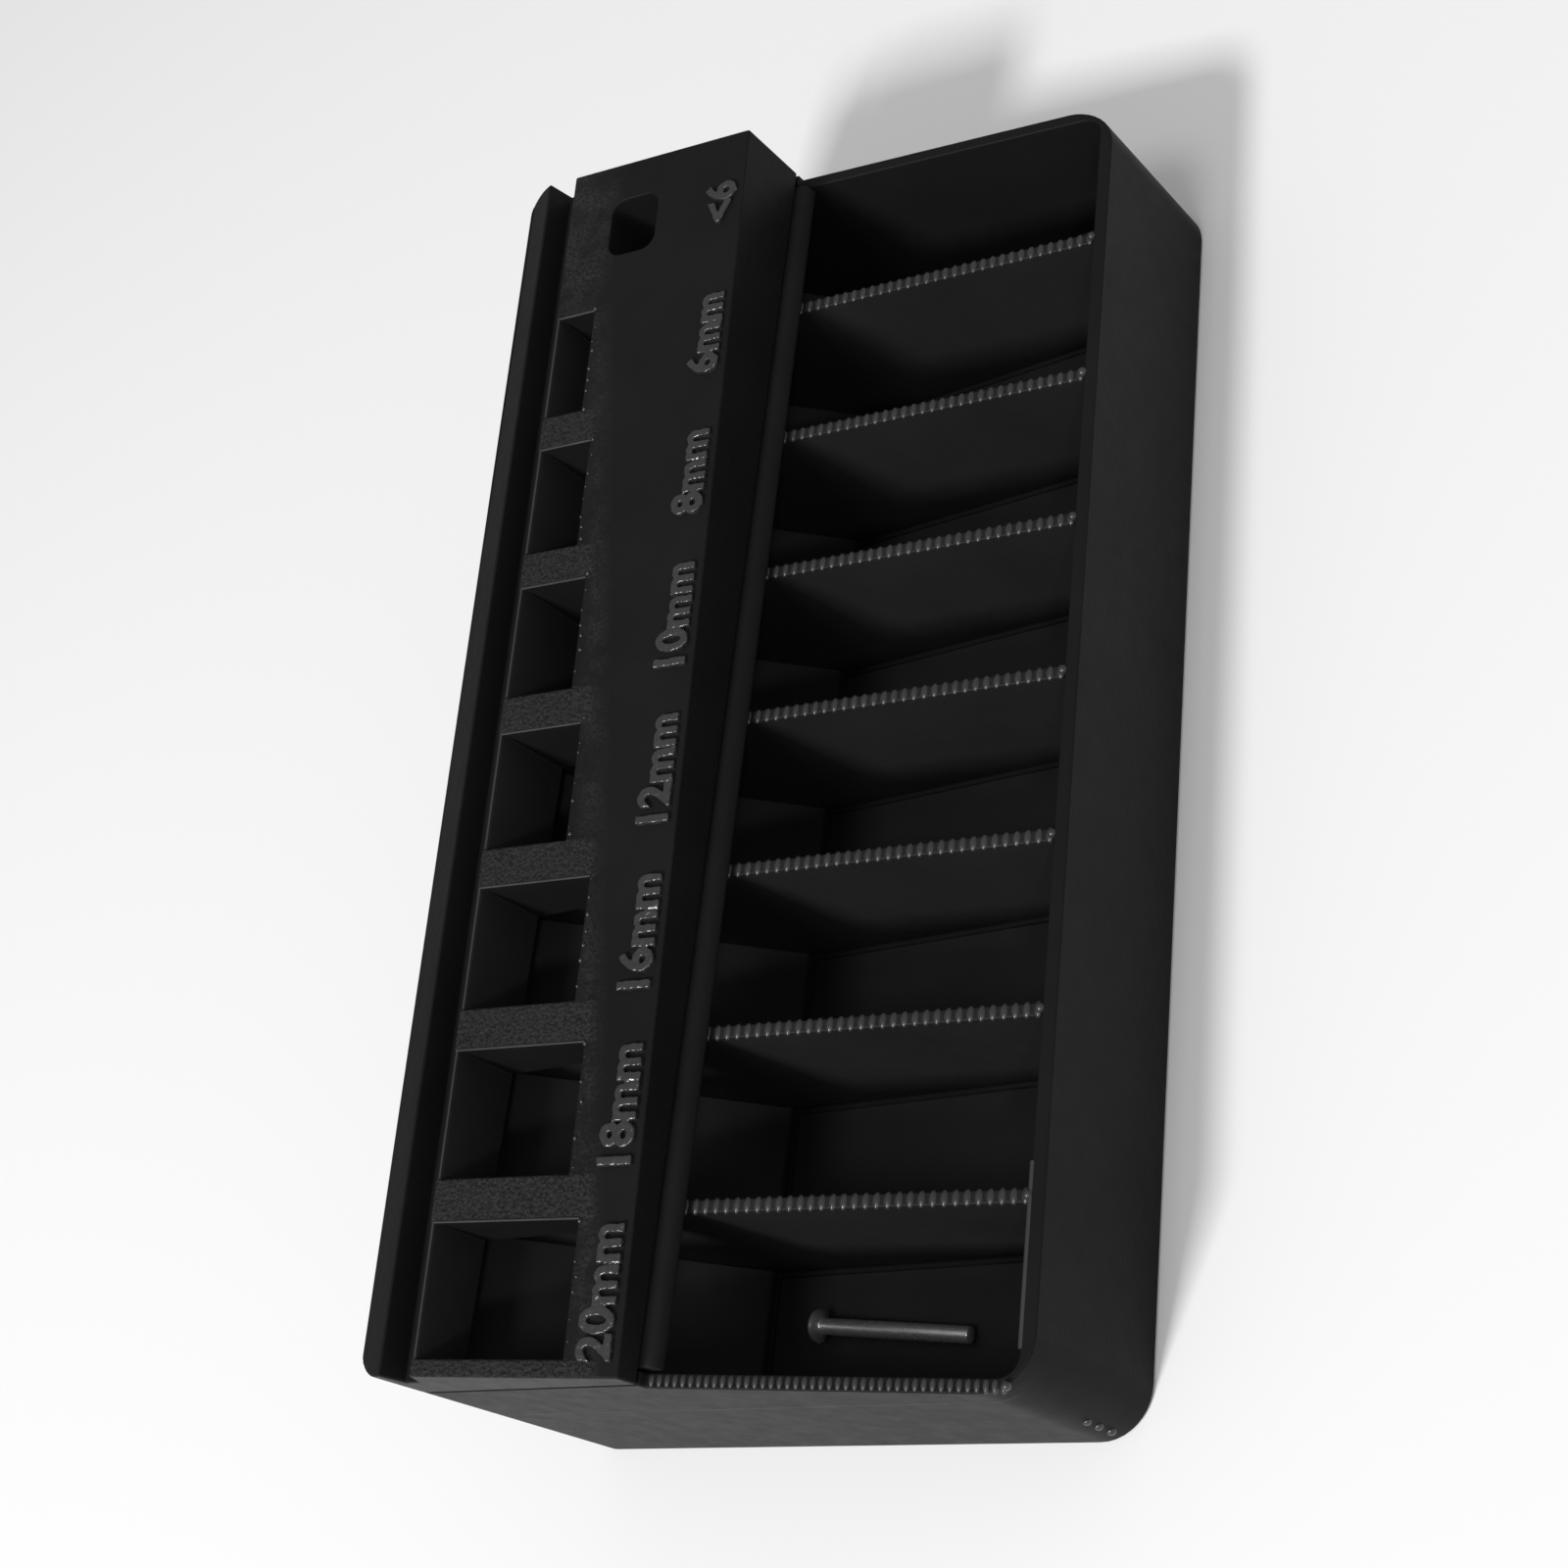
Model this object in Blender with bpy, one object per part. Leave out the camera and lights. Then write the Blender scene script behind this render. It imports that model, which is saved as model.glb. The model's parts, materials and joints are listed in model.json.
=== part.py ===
"""Length sorter for small headed pins.

A tray with a row of bins stands under a sorting deck that leans to the right and towards its near end. A pin
hangs its head in the deck's groove, is pushed towards the near end and falls through the first window that is
wider than the pin is long. It then slides down a ramp under the deck into the open bin beside that window.

X runs across the sorter, Y along it with the far end at +Y, and Z up. The origin is at the middle of the
underside.
"""
import math

import bmesh
import bpy
from mathutils import Vector

# Driving dimensions of the tray, in metres
BIN_PITCH = 0.0200
END_WALL = 0.0016
LEFT_WALL = 0.0020
RIGHT_WALL = 0.0016
FLOOR = 0.0045
BIN_REACH = 0.0413
RIM_RIGHT_HEIGHT = 0.0230
RIM_LEFT_HEIGHT = 0.0314
CORNER_RADIUS = 0.0060
LEFT_CORNER_RADIUS = 0.0040
CORNER_WALL = 0.0008

# Dividers between the bins
DIVIDER_THICKNESS = 0.0015
DIVIDER_RIGHT_DROP = 0.0004
DIVIDER_LEFT_DROP = 0.0018
SLOT_DEPTH = 0.0012
TAB_INSET = 0.0060

# Ramps and the lintel over the throat
RAMP_HEAD_HEIGHT = 0.0262
RAMP_TOE_HEIGHT = 0.0010
RAMP_SETBACK = 0.0056
LINTEL_THICKNESS = 0.0018
LINTEL_TOP_PROUD = 0.0002
LINTEL_FOOT_PROUD = 0.0015

# Sorting deck
PIN_LENGTHS = (0.006, 0.008, 0.010, 0.012, 0.016, 0.018, 0.020)
SEAM_RISE = 0.0014
DECK_EDGE_THICKNESS = 0.0031
DECK_RISE = 0.0072
DECK_LEAN = math.radians(9.6)
FENCE_THICKNESS = 0.0048
FENCE_ROUND = 0.0010
FENCE_OUTER_DROP = 0.0002
FENCE_INNER_PROUD = 0.0008
GROOVE_WIDTH = 0.0040
GROOVE_DEPTH = 0.0028
GROOVE_LEFT_SLANT = 0.0007
GROOVE_RIGHT_SLANT = 0.0014
GROOVE_LIP = 0.0007
PLATE_WIDTH = 0.0268
WINDOW_NEAR_BAR = 0.0020
WINDOW_FAR_BAR = 0.0030
HOLE_WIDTH = 0.0070
HOLE_LENGTH = 0.0088
HOLE_INSET = 0.0068
HOLE_END_DISTANCE = 0.0104

# Loose pin
PIN_DIAMETER = 0.0019
PIN_HEAD_DIAMETER = 0.0038
PIN_HEAD_LENGTH = 0.0010
PIN_HEAD_CHAMFER = 0.0003
PIN_START = 0.0023
PIN_SHIFT = 0.0018
PIN_YAW = math.radians(-4.5)

# Clearances, in metres
SEAT_GAP = 0.0003
CUT_MARGIN = 0.0100

# Facets of the round shapes
CORNER_STEPS = 10
ROUND_STEPS = 6
PIN_SIDES = 24

# Sizes that follow from the driving dimensions
SEAM_HEIGHT = RIM_LEFT_HEIGHT + SEAM_RISE
DECK_NEAR_HEIGHT = SEAM_HEIGHT + DECK_EDGE_THICKNESS
BIN_COUNT = len(PIN_LENGTHS) + 1
LENGTH = BIN_COUNT * BIN_PITCH
DECK_WIDTH = FENCE_THICKNESS + GROOVE_WIDTH + PLATE_WIDTH
WIDTH = DECK_WIDTH + BIN_REACH + RIGHT_WALL
LEFT = -WIDTH / 2
RIGHT = WIDTH / 2
NEAR = -LENGTH / 2
FAR = LENGTH / 2
INNER_LEFT = LEFT + LEFT_WALL
INNER_RIGHT = RIGHT - RIGHT_WALL
DECK_EDGE = LEFT + DECK_WIDTH
GROOVE_EDGE = DECK_EDGE - PLATE_WIDTH
LINTEL_INNER = DECK_EDGE - LINTEL_THICKNESS
TOP = DECK_NEAR_HEIGHT + DECK_RISE + DECK_WIDTH * math.tan(DECK_LEAN) + CUT_MARGIN

BLACK_PLASTIC = ((0.012, 0.012, 0.013, 1.0), 0.42, 0.0)
BRIGHT_STEEL = ((0.62, 0.61, 0.59, 1.0), 0.28, 1.0)


def deck_height(x, y):
    """Height of the deck's top plane, which leans to the right and falls towards the near end."""
    return DECK_NEAR_HEIGHT + DECK_RISE * (y - NEAR) / LENGTH + (DECK_EDGE - x) * math.tan(DECK_LEAN)


def rim_height(x):
    """Height of the end walls' sloping rim, right of the deck."""
    share = (x - DECK_EDGE) / (RIGHT - DECK_EDGE)
    return RIM_LEFT_HEIGHT + (RIM_RIGHT_HEIGHT - RIM_LEFT_HEIGHT) * share


def divider_height(x):
    """Height of a divider's sloping top edge, right of the deck."""
    share = (x - DECK_EDGE) / (RIGHT - DECK_EDGE)
    return rim_height(x) - DIVIDER_LEFT_DROP + (DIVIDER_LEFT_DROP - DIVIDER_RIGHT_DROP) * share


def divider_y(number):
    """Middle of a divider, counted from 1 at the far end."""
    return FAR - number * BIN_PITCH


def bin_limits(number):
    """Near and far inner faces of a bin, counted from 1 at the far end."""
    near_face = NEAR + END_WALL
    far_face = FAR - END_WALL
    if number < BIN_COUNT:
        near_face = divider_y(number) + DIVIDER_THICKNESS / 2
    if number > 1:
        far_face = divider_y(number - 1) - DIVIDER_THICKNESS / 2
    return near_face, far_face


def clear_scene():
    for item in list(bpy.data.objects):
        bpy.data.objects.remove(item, do_unlink=True)


def material(name, look):
    colour, roughness, metallic = look
    made = bpy.data.materials.new(name)
    made.use_nodes = True
    shader = made.node_tree.nodes["Principled BSDF"]
    shader.inputs["Base Color"].default_value = colour
    shader.inputs["Roughness"].default_value = roughness
    shader.inputs["Metallic"].default_value = metallic
    return made


def loft(name, loops, origin=(0, 0, 0)):
    """Closed solid through loops of points that have the same count, capped at both ends."""
    mesh = bpy.data.meshes.new(name)
    bm = bmesh.new()
    start = Vector(origin)
    rings = [[bm.verts.new(Vector(point) - start) for point in loop] for loop in loops]
    for lower, upper in zip(rings, rings[1:]):
        for i in range(len(lower)):
            j = (i + 1) % len(lower)
            bm.faces.new((lower[i], lower[j], upper[j], upper[i]))
    bm.faces.new(rings[0])
    bm.faces.new(rings[-1])
    bmesh.ops.recalc_face_normals(bm, faces=bm.faces)
    bm.to_mesh(mesh)
    bm.free()
    made = bpy.data.objects.new(name, mesh)
    made.location = start
    bpy.context.collection.objects.link(made)
    return made


def upright(name, outline, z_range):
    """Prism that stands on an outline seen from above."""
    return loft(name, [[(x, y, z) for x, y in outline] for z in z_range])


def block(name, x_range, y_range, z_range):
    """Upright box between three pairs of limits."""
    (x0, x1), (y0, y1) = x_range, y_range
    return upright(name, ((x0, y0), (x1, y0), (x1, y1), (x0, y1)), z_range)


def combine(target, other, operation):
    """Boolean step that keeps its second shape out of sight."""
    other.hide_render = True
    other.display_type = 'WIRE'
    step = target.modifiers.new(other.name, 'BOOLEAN')
    step.operation = operation
    step.solver = 'EXACT'
    step.object = other


def arc(centre, radius, start_angle, end_angle, steps):
    angles = [start_angle + (end_angle - start_angle) * i / steps for i in range(steps + 1)]
    return [(centre[0] + radius * math.cos(a), centre[1] + radius * math.sin(a)) for a in angles]


def footprint(left):
    """Outline of the sorter from above, with four rounded corners."""
    quarter = math.pi / 2
    corners = (
        (RIGHT, FAR, -1, -1, CORNER_RADIUS),
        (left, FAR, 1, -1, LEFT_CORNER_RADIUS),
        (left, NEAR, 1, 1, LEFT_CORNER_RADIUS),
        (RIGHT, NEAR, -1, 1, CORNER_RADIUS),
    )
    outline = []
    for turn, (x, y, x_way, y_way, radius) in enumerate(corners):
        centre = (x + x_way * radius, y + y_way * radius)
        outline += arc(centre, radius, turn * quarter, (turn + 1) * quarter, CORNER_STEPS)
    return outline


def cavity_outline():
    """Inside of the tray from above, square under the deck and rounded at the open bins.

    The inner corners are as tight as the outer ones allow with the corner wall left across the diagonal.
    """
    diagonal = math.sqrt(2)
    reach = diagonal * (CORNER_RADIUS - END_WALL)
    radius = max((CORNER_WALL - CORNER_RADIUS + reach) / (diagonal - 1), SEAT_GAP)
    y0, y1 = NEAR + END_WALL, FAR - END_WALL
    near_corner = arc((INNER_RIGHT - radius, y0 + radius), radius, -math.pi / 2, 0, CORNER_STEPS)
    far_corner = arc((INNER_RIGHT - radius, y1 - radius), radius, 0, math.pi / 2, CORNER_STEPS)
    return [(INNER_LEFT, y0)] + near_corner + far_corner + [(INNER_LEFT, y1)]


def add_tray():
    """Box with a floor and four walls, level under the deck and with a sloping rim at the open bins."""
    tray = upright("bin_tray", footprint(LEFT), (0, SEAM_HEIGHT - SEAT_GAP))
    y0, y1 = NEAR - CUT_MARGIN, FAR + CUT_MARGIN
    corners = ((DECK_EDGE, y0), (RIGHT + CUT_MARGIN, y0), (RIGHT + CUT_MARGIN, y1), (DECK_EDGE, y1))
    rim = [(x, y, rim_height(x)) for x, y in corners]
    above = [(x, y, TOP) for x, y in corners]
    combine(tray, loft("cut_rim", [rim, above]), 'DIFFERENCE')
    combine(tray, upright("cut_cavity", cavity_outline(), (FLOOR, TOP)), 'DIFFERENCE')
    slot_x = (INNER_LEFT + TAB_INSET - SEAT_GAP, INNER_RIGHT - TAB_INSET + SEAT_GAP)
    reach = DIVIDER_THICKNESS / 2 + SEAT_GAP
    for number in range(1, BIN_COUNT):
        slot_y = (divider_y(number) - reach, divider_y(number) + reach)
        slot = block(f"cut_slot_{number}", slot_x, slot_y, (FLOOR - SLOT_DEPTH, TOP))
        combine(tray, slot, 'DIFFERENCE')
    return [tray]


def add_dividers():
    """Thin walls across the tray, tall under the deck and with a sloping edge between the bins."""
    made = []
    left, right = INNER_LEFT + SEAT_GAP, INNER_RIGHT - SEAT_GAP
    step = LINTEL_INNER - SEAT_GAP
    base = FLOOR + SEAT_GAP
    tab = FLOOR - SLOT_DEPTH + SEAT_GAP
    tall = SEAM_HEIGHT - SEAT_GAP
    profile = (
        (left, base),
        (INNER_LEFT + TAB_INSET, base),
        (INNER_LEFT + TAB_INSET, tab),
        (INNER_RIGHT - TAB_INSET, tab),
        (INNER_RIGHT - TAB_INSET, base),
        (right, base),
        (right, divider_height(right)),
        (step, divider_height(step)),
        (step, tall),
        (left, tall),
    )
    for number in range(1, BIN_COUNT):
        faces = (divider_y(number) - DIVIDER_THICKNESS / 2, divider_y(number) + DIVIDER_THICKNESS / 2)
        made.append(loft(f"bin_divider_{number}", [[(x, y, z) for x, z in profile] for y in faces]))
    return made


def add_ramps():
    """Wedges on the floor under the deck, one in each bin, that guide a fallen pin into the open part."""
    made = []
    left, right = INNER_LEFT + SEAT_GAP, DECK_EDGE - RAMP_SETBACK
    base = FLOOR + SEAT_GAP
    profile = ((left, base), (right, base), (right, base + RAMP_TOE_HEIGHT), (left, base + RAMP_HEAD_HEIGHT))
    for number in range(1, BIN_COUNT + 1):
        near_face, far_face = bin_limits(number)
        ends = (near_face + SEAT_GAP, far_face - SEAT_GAP)
        made.append(loft(f"chute_ramp_{number}", [[(x, y, z) for x, z in profile] for y in ends]))
    return made


def add_lintel():
    """Rounded bar on the dividers, over the throat between the chutes and the bins, that carries the deck's edge."""
    foot = divider_height(LINTEL_INNER) + SEAT_GAP
    head = SEAM_HEIGHT - SEAT_GAP
    top_x = DECK_EDGE + LINTEL_TOP_PROUD
    bulge = LINTEL_FOOT_PROUD - LINTEL_TOP_PROUD
    turns = [math.pi / 2 * i / ROUND_STEPS for i in range(ROUND_STEPS + 1)]
    rounded = [(top_x + bulge * math.cos(turn), foot + (head - foot) * math.sin(turn)) for turn in turns]
    profile = [(LINTEL_INNER, foot)] + rounded + [(LINTEL_INNER, head)]
    ends = (NEAR + END_WALL + SEAT_GAP, FAR - END_WALL - SEAT_GAP)
    return [loft("throat_lintel", [[(x, y, z) for x, z in profile] for y in ends])]


def deck_section(y):
    """Cross-section of the deck: fence, groove and plate on a level underside."""
    crest = deck_height(GROOVE_EDGE, y)
    fence_inner = LEFT + FENCE_THICKNESS
    round_centre = (LEFT + FENCE_ROUND, crest - FENCE_OUTER_DROP - FENCE_ROUND)
    fence = arc(round_centre, FENCE_ROUND, math.pi, math.pi / 2, ROUND_STEPS)
    groove = [
        (fence_inner, crest + FENCE_INNER_PROUD),
        (fence_inner + GROOVE_LEFT_SLANT, crest - GROOVE_DEPTH),
        (GROOVE_EDGE - GROOVE_RIGHT_SLANT, crest - GROOVE_DEPTH),
        (GROOVE_EDGE, crest),
    ]
    plate = [(DECK_EDGE, deck_height(DECK_EDGE, y)), (DECK_EDGE, SEAM_HEIGHT), (LEFT, SEAM_HEIGHT)]
    return [(x, y, z) for x, z in fence + groove + plate]


def add_deck():
    """Sloping cap with a fence, a groove for the pins' heads and a row of windows that grow towards the near end."""
    deck = loft("sorting_deck", [deck_section(y) for y in (NEAR - CUT_MARGIN, FAR + CUT_MARGIN)])
    outline = footprint(LEFT - SEAT_GAP / 10)
    combine(deck, upright("keep_deck_outline", outline, (0, TOP)), 'INTERSECT')
    for number, length in enumerate(PIN_LENGTHS, start=2):
        near_edge = divider_y(number) + WINDOW_NEAR_BAR
        far_edge = divider_y(number - 1) - WINDOW_FAR_BAR
        x_range = (GROOVE_EDGE + GROOVE_LIP, GROOVE_EDGE + length * math.cos(DECK_LEAN))
        combine(deck, block(f"cut_window_{number}", x_range, (near_edge, far_edge), (0, TOP)), 'DIFFERENCE')
    middle = FAR - HOLE_END_DISTANCE
    x_range = (GROOVE_EDGE + HOLE_INSET, GROOVE_EDGE + HOLE_INSET + HOLE_WIDTH)
    y_range = (middle - HOLE_LENGTH / 2, middle + HOLE_LENGTH / 2)
    combine(deck, block("cut_hole_1", x_range, y_range, (0, TOP)), 'DIFFERENCE')
    return [deck]


def add_pin():
    """Loose headed pin lying across the nearest bin, on the rim of its head and the tip of its shank."""
    head_radius, shank_radius = PIN_HEAD_DIAMETER / 2, PIN_DIAMETER / 2
    tip = PIN_HEAD_LENGTH + PIN_LENGTHS[-1]
    stations = (
        (0, head_radius - PIN_HEAD_CHAMFER),
        (PIN_HEAD_CHAMFER, head_radius),
        (PIN_HEAD_LENGTH, head_radius),
        (PIN_HEAD_LENGTH, shank_radius),
        (tip, shank_radius),
    )
    near_face, far_face = bin_limits(BIN_COUNT)
    x, y, z = DECK_EDGE + PIN_START, (near_face + far_face) / 2 + PIN_SHIFT, FLOOR + SEAT_GAP + head_radius
    turns = [2 * math.pi * i / PIN_SIDES for i in range(PIN_SIDES)]
    loops = [[(x + along, y + radius * math.cos(turn), z + radius * math.sin(turn)) for turn in turns]
             for along, radius in stations]
    pin = loft("sorted_pin", loops, (x, y, z))
    lean = math.asin((head_radius - shank_radius) / tip)
    pin.rotation_euler = (0, lean, PIN_YAW)
    pin.data.shade_smooth()
    pin.data.set_sharp_from_angle(angle=math.radians(40))
    return [pin]


def main():
    clear_scene()
    plastic = add_tray() + add_dividers() + add_ramps() + add_lintel() + add_deck()
    for items, look in ((plastic, BLACK_PLASTIC), (add_pin(), BRIGHT_STEEL)):
        for item in items:
            item.data.materials.append(material(item.name, look))


main()
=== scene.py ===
"""Printed finish for a pin length sorter, laid out as an add-on and run as a script.

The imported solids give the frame. Each piece here is a black layered print with rounded edges that stands for
one of those solids or lies on one of them. The stage is a pale studio floor seen from the near right corner.
"""
import json
import math
import random

import bmesh
import bpy
from bpy.props import FloatProperty, FloatVectorProperty, IntProperty, PointerProperty, StringProperty
from mathutils import Matrix, Vector

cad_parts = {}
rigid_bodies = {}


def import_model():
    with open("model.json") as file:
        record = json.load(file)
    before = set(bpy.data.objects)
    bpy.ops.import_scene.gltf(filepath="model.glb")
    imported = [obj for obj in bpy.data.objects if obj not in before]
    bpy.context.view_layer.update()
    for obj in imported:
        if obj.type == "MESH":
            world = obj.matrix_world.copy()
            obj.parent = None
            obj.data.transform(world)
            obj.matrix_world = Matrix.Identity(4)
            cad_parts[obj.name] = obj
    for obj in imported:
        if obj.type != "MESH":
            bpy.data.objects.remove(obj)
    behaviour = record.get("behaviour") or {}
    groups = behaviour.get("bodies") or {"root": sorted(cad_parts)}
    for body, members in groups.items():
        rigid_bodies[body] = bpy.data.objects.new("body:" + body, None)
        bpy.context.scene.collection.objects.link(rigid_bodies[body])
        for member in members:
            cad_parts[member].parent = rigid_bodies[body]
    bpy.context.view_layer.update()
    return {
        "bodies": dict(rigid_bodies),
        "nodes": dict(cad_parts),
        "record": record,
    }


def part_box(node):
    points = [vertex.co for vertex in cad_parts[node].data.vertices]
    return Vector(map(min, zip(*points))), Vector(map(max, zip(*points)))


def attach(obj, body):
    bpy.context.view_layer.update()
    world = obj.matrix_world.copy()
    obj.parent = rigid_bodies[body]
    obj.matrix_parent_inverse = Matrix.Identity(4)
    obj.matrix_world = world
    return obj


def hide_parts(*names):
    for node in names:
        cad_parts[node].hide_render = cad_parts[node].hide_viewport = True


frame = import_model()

bl_info = {
    "name": "Pin sorter finish",
    "version": (1, 0, 0),
    "blender": (4, 5, 0),
    "location": "3D View > Sidebar > Sorter",
    "description": "Dresses the packed pin sorter as a black layered print on a pale studio floor",
    "category": "Object",
}

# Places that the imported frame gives
TRAY_LOW, TRAY_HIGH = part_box("bin_tray")
DECK_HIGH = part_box("sorting_deck")[1]
DIVIDERS = sorted(name for name in frame["nodes"] if name.startswith("bin_divider_"))
RAMPS = sorted(name for name in frame["nodes"] if name.startswith("chute_ramp_"))
OPENINGS = {opening["name"]: opening["box_m"] for opening in frame["record"]["physics"]["openings"]}
WINDOWS = [box for name, box in OPENINGS.items() if name.startswith("window_")]
HOLE_LOW, HOLE_HIGH = OPENINGS["hole_1"]
PITCH = (TRAY_HIGH.y - TRAY_LOW.y) / len(RAMPS)

# Sizes of the solids that the details follow
WALL = 0.0016
CORNER_RADIUS = 0.0060
PLATE_WIDTH = 0.0268
GROOVE_EDGE = DECK_HIGH.x - PLATE_WIDTH
RAMP_GAP = 0.0003
FLOOR_LIMIT = 0.0060
WINDOW_MARGIN = (0.0003, 0.0004)
WINDOW_WALL_REACH = 0.0015
HOLE_REACH = 0.0008
HOLE_ROUND = 0.0020

# Which edges of a solid are rounded, and which are only facets of a flat or round face
MERGE_DISTANCE = 1e-6
FACET_ANGLE = math.radians(0.6)
SHARP_ANGLE = math.radians(35.0)
ROUND_SEGMENTS = 2
WORN_SEGMENTS = 6
UPRIGHT_SLACK = 0.0002
UPRIGHT_LENGTH = 0.001

# How squarely a face looks up or to the right to take another finish
TRAY_FACING = 0.9
DECK_FACING = 0.8

# Layer ends along the dividers and the near rim
BEAD_WIDTH = 0.0020
BEAD_SHARE = 0.84
BEAD_SINK = 0.25
DECK_CLEARANCE = 0.0006
DIVIDER_DROPS = (0.0018, 0.0004)
DIVIDER_END_INSET = 0.0004
RIM_STEP = 0.00095
RIM_BEAD_HEIGHT = 0.0008
RIM_END_INSET = 0.0030

# Blobs at the ends of those rows and at the near right corner, and the line along the right wall's inner edge,
# a painted highlight
END_BLOB_SHIFT = Vector((0.0004, 0, 0.0001))
END_BLOB_SIZES = (0.0009, 0.0013)
CORNER_BLOB_HEIGHTS = (0.0025, 0.0050, 0.0073)
CORNER_BLOB_SINK = 0.0002
CORNER_BLOB_TURN = math.radians(26.0)
RIM_LINE_RADIUS = 0.00036
RIM_LINE_SPAN = (0.0045, 0.0235)

# Threads at the feet of the dividers and ramps, and specks on the lintel
FOOT_RADIUS = 0.00045
SPECK_REACH = (0.0003, 0.0011)
SPECK_INSET = (0.0002, 0.0004)
SPECK_DENSITY = 12000.0
SPECK_SIZES = (0.0002, 0.0006)

# Blobs and lips along the edges of the windows, lighter copies of the black as painted highlights
BLOB_STEP = 0.0022
BLOB_JITTER = 0.3
BLOB_SPREAD = 0.0005
BLOB_SIZES = (0.00015, 0.0006)
EDGE_SHIFT = 0.0002
LIP_RADIUS = 0.00016

# Raised marks, as shares of their size or rise, and the lumps in them
MARK_SWELL = 0.018
MARK_BEVEL = 0.22
MARK_LIFT = 0.35
MARK_VOXEL = 0.00011
LUMP_SCALE = 0.0007
LUMP_DEPTH = 0.00030

# Rounding of the pin, and the share of its head that the rim takes
PIN_EASE = 0.00025
PIN_RIM_SHARE = 0.6

# Rough bars of the deck: share of the pitch, and where they end
BAR_PHASE = 0.525
BAR_HALF_SHARE = 0.125
BAR_SOFT_SHARE = 0.015
BAR_END_MIDDLE = -0.0160
BAR_END_SLOPE = -0.13
BAR_END_SOFT = 0.0015
# Rough strip along the right edges of the windows, and rough patch beside the hole
STRIP_MIDDLE = -0.0171
STRIP_SLOPE = -0.115
STRIP_HALF = 0.0026
STRIP_STRENGTH = 0.7
PATCH_START = 0.0560
PATCH_START_SOFT = 0.004
PATCH_END = -0.0250
PATCH_END_SOFT = 0.003
BLOTCH_SCALE = 260.0
BLOTCH_SPREAD = (0.2, 1.0, 0.38, 0.60)
GROOVE_SOFT = 0.0004
# Pebbles of all these rough places, greyer, with painted highlights on their tops
PEBBLE_SCALE = 2400.0
PEBBLE_DETAIL = (2.0, 0.5)
PEBBLE_DEPTH = 0.00040
PEBBLE_GREY_AND_HIGHLIGHT = 2.6
PEBBLE_SPREAD = (0.1, 1.0, 0.32, 0.68)

# Waves in the printed layers, greyer patches and changes of roughness on all the plastic
WAVE_SCALE = 160.0
WAVE_TURN = 2.4
MOTTLE_DETAIL = (4.0, 0.7)
GREY_SCALE = 55.0
DULL_SCALE = 420.0
DULL_SPREAD = (-0.03, 0.04)
# Level ledge on the near face
LEDGE_HEIGHT = 0.0203
LEDGE_HALF = 0.00025
LEDGE_DEPTH = 0.00009
LEDGE_FACE = (0.0002, 0.0010)

# Drawn lines, dull patches and roughness of the pin
DRAWN_STRETCH = (0.06, 1.0, 1.0)
DRAWN_SCALE = 9000.0
DRAWN_DEPTH = 0.00001
DRAWN_STRENGTH = 0.5
STEEL_DULL_SCALE = 700.0
STEEL_DULL_SHARE = 0.72
STEEL_ROUGHNESS = (0.24, 0.38)
STEEL_METALLIC = 0.85

# Stage: lamps by name, direction, size and power, and the studio dome's light from horizon to overhead
STAGE_MIDDLE = Vector((0, 0, 0.02))
LAMP_DISTANCE = 2.0
LAMPS = (
    ("left_lamp", (-0.25, -1.0, 1.0), 0.30, 29.0),
    ("right_lamp", (0.88, -0.87, 1.0), 0.15, 5.0),
    ("top_lamp", (0.05, -0.42, 1.0), 0.50, 7.5),
)
HORIZON_LIGHT = 0.50
OVERHEAD_LIGHT = 0.45
OVERHEAD_START = 0.6
LEFT_SHARE = 0.60
RIGHT_SHARE = 0.86
SHARE_SPAN = (-0.8, 0.2)
FLOOR_REACH = 20.0
FLOOR_HEIGHT = -0.0002
FLOOR_ROUGHNESS = 0.9
FLOOR_GLOSS = 0.1


def length_prop(name, description, default):
    return FloatProperty(name=name, description=description, default=default, unit='LENGTH', precision=5)


def angle_prop(name, description, degrees):
    return FloatProperty(name=name, description=description, default=math.radians(degrees), subtype='ANGLE')


def colour_prop(name, description, default):
    return FloatVectorProperty(name=name, description=description, default=default, subtype='COLOR', size=3,
                               min=0.0, max=1.0)


class SorterSizes(bpy.types.PropertyGroup):
    """Sizes of the print and of the details that it carries"""
    layer: length_prop("Layer", "Height of one printed layer", 0.00025)
    edge_round: length_prop("Edge round", "Rounding of the printed edges", 0.00025)
    deck_lean: angle_prop("Deck lean", "Slope of the deck to the right", 9.6)
    deck_rise: length_prop("Deck rise", "How much higher the deck is at its far end", 0.0072)
    deck_near: length_prop("Deck near height", "Height of the deck's right edge at the near end", 0.0359)
    rim_left: length_prop("Rim left height", "Height of the end rims at the deck", 0.0314)
    rim_right: length_prop("Rim right height", "Height of the end rims at the right wall", 0.0230)
    bead_step: length_prop("Bead step", "Distance between the layer ends on a divider", 0.00127)
    bead_height: length_prop("Bead height", "Height of one layer end on a divider", 0.00085)
    mark_size: length_prop("Mark size", "Type size of the raised marks", 0.0058)
    mark_rise: length_prop("Mark rise", "How far the marks stand proud of the deck", 0.00055)
    mark_inset: length_prop("Mark inset", "Distance of the marks' foot from the deck's right edge", 0.0011)
    mark_middle: length_prop("Mark middle", "Middle of a mark from its bin's near line", 0.0090)
    pin_length: length_prop("Pin length", "Length of the pin under its head", 0.0200)
    pin_diameter: length_prop("Pin diameter", "Diameter of the pin's shank", 0.0019)
    head_diameter: length_prop("Head diameter", "Diameter of the pin's head", 0.0038)
    head_length: length_prop("Head length", "Length of the pin's head", 0.0010)
    pin_yaw: angle_prop("Pin yaw", "Turn of the pin in its bin", -4.5)


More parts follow.
